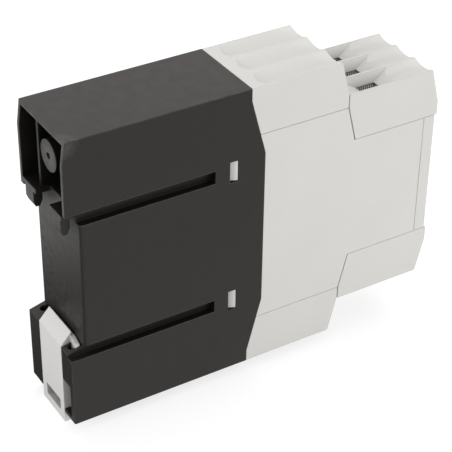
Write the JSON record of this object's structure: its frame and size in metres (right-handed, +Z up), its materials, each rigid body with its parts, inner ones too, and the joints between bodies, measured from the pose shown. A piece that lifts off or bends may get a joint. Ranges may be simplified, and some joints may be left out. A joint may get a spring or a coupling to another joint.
{
  "type": "star-delta timer relay",
  "caption": "Slim rail-mounted timer relay with a black rear housing, rail claws, a sprung latch, a grey front with tiers of screw terminals, setting knobs and light pipes.",
  "frame": {"origin": "middle of the rail seat: mid width, on the plane that the rail touches, on the rail's middle line", "axes": "+X across the width along the rail, +Y to the rear towards the rail, +Z up"},
  "size_m": [0.0226, 0.1027, 0.0811],
  "materials": {
    "black_plastic": "fine satin moulding",
    "grey_plastic": "fine satin moulding",
    "latch_plastic": "smooth satin moulding",
    "plated_steel": "zinc plated",
    "screw_steel": "zinc plated",
    "tinned_copper": "tinned",
    "spring_steel": "bare",
    "circuit_board": "solder mask",
    "relay_case": "smooth",
    "capacitor_sleeve": "shrink sleeve",
    "film_case": "potted box",
    "varistor_coat": "dipped coating",
    "chip_case": "moulded",
    "dial_case": "moulded",
    "knob_plastic": "satin",
    "light_pipe": "clear polished",
    "lamp_case": "moulded"
  },
  "bodies": {
    "housing": {"board_header": "chip_case", "control_board": "circuit_board", "delta_relay": "relay_case", "film_capacitor": "film_case", "front_housing": "grey_plastic", "front_panel": "grey_plastic", "indicator_leds": "lamp_case", "latch_spring": "spring_steel", "light_pipe_1": "light_pipe", "light_pipe_2": "light_pipe", "light_pipe_3": "light_pipe", "lower_blanking_cover": "grey_plastic", "lower_contact_strip_1": "tinned_copper", "lower_contact_strip_2": "tinned_copper", "lower_contact_strip_3": "tinned_copper", "lower_terminal_block": "grey_plastic", "main_board": "circuit_board", "range_switch": "dial_case", "rear_housing": "black_plastic", "reservoir_capacitor": "capacitor_sleeve", "star_relay": "relay_case", "time_potentiometer": "dial_case", "timing_chip": "chip_case", "upper_blanking_cover": "grey_plastic", "upper_contact_strip_1": "tinned_copper", "upper_contact_strip_2": "tinned_copper", "upper_contact_strip_3": "tinned_copper", "upper_terminal_block": "grey_plastic", "varistor": "varistor_coat"},
    "latch": {"din_latch": "latch_plastic"},
    "time_dial": {"time_knob": "knob_plastic"},
    "range_dial": {"range_knob": "knob_plastic"},
    "upper_screw_1": {"upper_terminal_screw_1": "screw_steel"},
    "upper_cage_1": {"upper_clamp_cage_1": "plated_steel"},
    "upper_screw_2": {"upper_terminal_screw_2": "screw_steel"},
    "upper_cage_2": {"upper_clamp_cage_2": "plated_steel"},
    "upper_screw_3": {"upper_terminal_screw_3": "screw_steel"},
    "upper_cage_3": {"upper_clamp_cage_3": "plated_steel"},
    "lower_screw_1": {"lower_terminal_screw_1": "screw_steel"},
    "lower_cage_1": {"lower_clamp_cage_1": "plated_steel"},
    "lower_screw_2": {"lower_terminal_screw_2": "screw_steel"},
    "lower_cage_2": {"lower_clamp_cage_2": "plated_steel"},
    "lower_screw_3": {"lower_terminal_screw_3": "screw_steel"},
    "lower_cage_3": {"lower_clamp_cage_3": "plated_steel"}
  },
  "joints": [
    {"name": "latch_slide", "type": "slide", "parent": "housing", "child": "latch", "axis": [0, 0, -1], "range_m": [0, 0.004], "stiffness_N_per_m": 1500, "springref_m": -0.001, "deforming": ["latch_spring"]},
    {"name": "time_knob_turn", "type": "hinge", "parent": "housing", "child": "time_dial", "pos_m": [0, -0.0968, -0.0046], "axis": [0, 1, 0], "range_deg": [-135, 135]},
    {"name": "range_knob_turn", "type": "hinge", "parent": "housing", "child": "range_dial", "pos_m": [0, -0.0968, 0.0059], "axis": [0, 1, 0], "range_deg": [-150, 150]},
    {"name": "upper_screw_1_turn", "type": "hinge", "parent": "housing", "child": "upper_screw_1", "pos_m": [-0.0075, -0.0933, 0.0229], "axis": [0, 1, 0], "range_deg": [0, 2880]},
    {"name": "upper_cage_1_slide", "type": "slide", "parent": "housing", "child": "upper_cage_1", "axis": [0, -1, 0], "range_m": [0, 0.004]},
    {"name": "upper_screw_2_turn", "type": "hinge", "parent": "housing", "child": "upper_screw_2", "pos_m": [0, -0.0933, 0.0229], "axis": [0, 1, 0], "range_deg": [0, 2880]},
    {"name": "upper_cage_2_slide", "type": "slide", "parent": "housing", "child": "upper_cage_2", "axis": [0, -1, 0], "range_m": [0, 0.004]},
    {"name": "upper_screw_3_turn", "type": "hinge", "parent": "housing", "child": "upper_screw_3", "pos_m": [0.0075, -0.0933, 0.0229], "axis": [0, 1, 0], "range_deg": [0, 2880]},
    {"name": "upper_cage_3_slide", "type": "slide", "parent": "housing", "child": "upper_cage_3", "axis": [0, -1, 0], "range_m": [0, 0.004]},
    {"name": "lower_screw_1_turn", "type": "hinge", "parent": "housing", "child": "lower_screw_1", "pos_m": [-0.0075, -0.0933, -0.0229], "axis": [0, 1, 0], "range_deg": [0, 2880]},
    {"name": "lower_cage_1_slide", "type": "slide", "parent": "housing", "child": "lower_cage_1", "axis": [0, -1, 0], "range_m": [0, 0.004]},
    {"name": "lower_screw_2_turn", "type": "hinge", "parent": "housing", "child": "lower_screw_2", "pos_m": [0, -0.0933, -0.0229], "axis": [0, 1, 0], "range_deg": [0, 2880]},
    {"name": "lower_cage_2_slide", "type": "slide", "parent": "housing", "child": "lower_cage_2", "axis": [0, -1, 0], "range_m": [0, 0.004]},
    {"name": "lower_screw_3_turn", "type": "hinge", "parent": "housing", "child": "lower_screw_3", "pos_m": [0.0075, -0.0933, -0.0229], "axis": [0, 1, 0], "range_deg": [0, 2880]},
    {"name": "lower_cage_3_slide", "type": "slide", "parent": "housing", "child": "lower_cage_3", "axis": [0, -1, 0], "range_m": [0, 0.004]}
  ],
  "couplings": [
    {"joint": "upper_screw_1_turn", "follows": "upper_cage_1_slide", "rad_per_m": 12566},
    {"joint": "upper_screw_2_turn", "follows": "upper_cage_2_slide", "rad_per_m": 12566},
    {"joint": "upper_screw_3_turn", "follows": "upper_cage_3_slide", "rad_per_m": 12566},
    {"joint": "lower_screw_1_turn", "follows": "lower_cage_1_slide", "rad_per_m": 12566},
    {"joint": "lower_screw_2_turn", "follows": "lower_cage_2_slide", "rad_per_m": 12566},
    {"joint": "lower_screw_3_turn", "follows": "lower_cage_3_slide", "rad_per_m": 12566}
  ]
}
